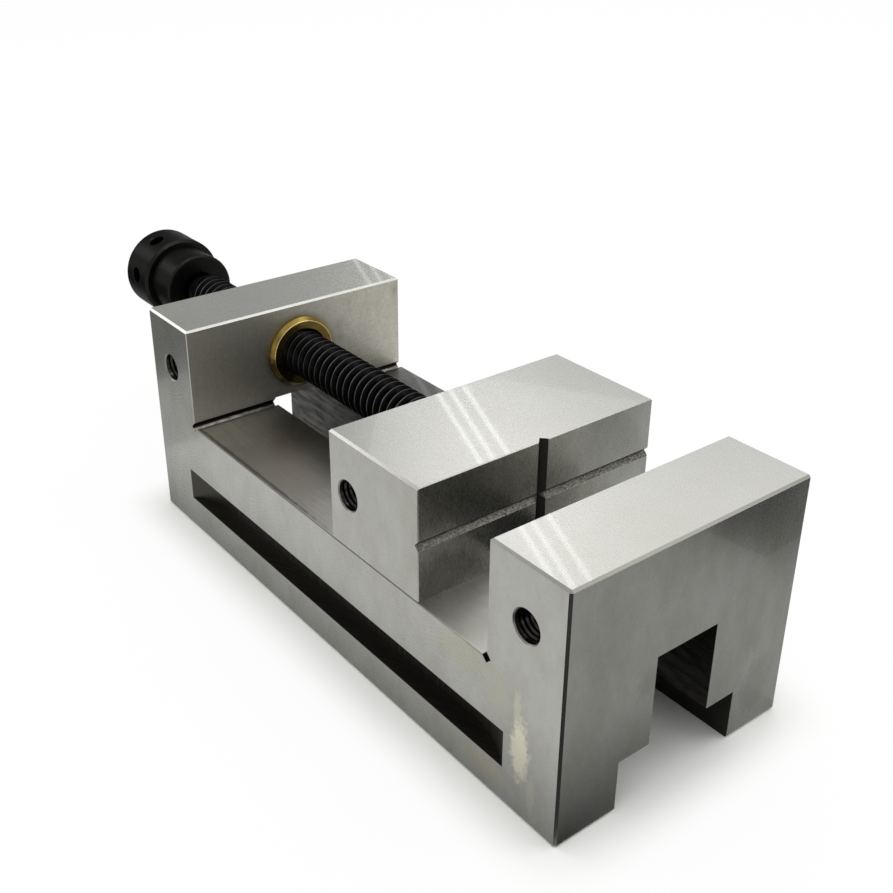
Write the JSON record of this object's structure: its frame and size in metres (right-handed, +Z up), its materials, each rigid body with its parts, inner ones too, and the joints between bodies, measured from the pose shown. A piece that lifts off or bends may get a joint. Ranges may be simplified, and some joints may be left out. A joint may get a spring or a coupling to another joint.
{
  "type": "precision screw vise",
  "caption": "Ground toolmaker's vise with a one-piece body, a sliding V-grooved jaw on a T-slot guide, and a lead screw with a tommy-bar knob.",
  "frame": {"origin": "on the underside, below the middle of the whole vise at rest", "axes": "+X along the bed towards the fixed jaw's end, +Y across the bed, +Z up"},
  "size_m": [0.3388, 0.1, 0.09],
  "materials": {
    "ground_steel": "ground",
    "milled_steel": "milled",
    "fastener_steel": "blackened",
    "blackened_steel": "blackened, satin",
    "brass": "turned",
    "bronze": "turned"
  },
  "bodies": {
    "vise_body": {"vise_body": "ground_steel", "screw_bush": "brass", "bush_lock_screw_near": "fastener_steel", "bush_lock_screw_far": "fastener_steel"},
    "moving_jaw": {"movable_jaw": "ground_steel", "hold_down_plate": "milled_steel", "hold_down_screws": "fastener_steel", "spring_washers": "fastener_steel", "plate_dowels": "milled_steel", "nose_bush": "bronze", "thrust_washer": "milled_steel", "thrust_button": "milled_steel", "nose_dog_screw_near": "fastener_steel", "nose_dog_screw_far": "fastener_steel", "nose_jam_screw_near": "fastener_steel", "nose_jam_screw_far": "fastener_steel"},
    "screw": {"lead_screw": "blackened_steel", "thrust_ball": "milled_steel", "knob": "blackened_steel", "knob_roll_pin": "milled_steel"}
  },
  "joints": [
    {"name": "jaw_slide", "type": "slide", "parent": "vise_body", "child": "moving_jaw", "axis": [1, 0, 0], "range_m": [-0.092, 0.03299]},
    {"name": "screw_turn", "type": "hinge", "parent": "moving_jaw", "child": "screw", "pos_m": [-0.1484, 0, 0.0695], "axis": [1, 0, 0], "range_deg": [-8281, 2971]}
  ],
  "couplings": [
    {"joint": "screw_turn", "follows": "jaw_slide", "rad_per_m": 1570.8}
  ]
}
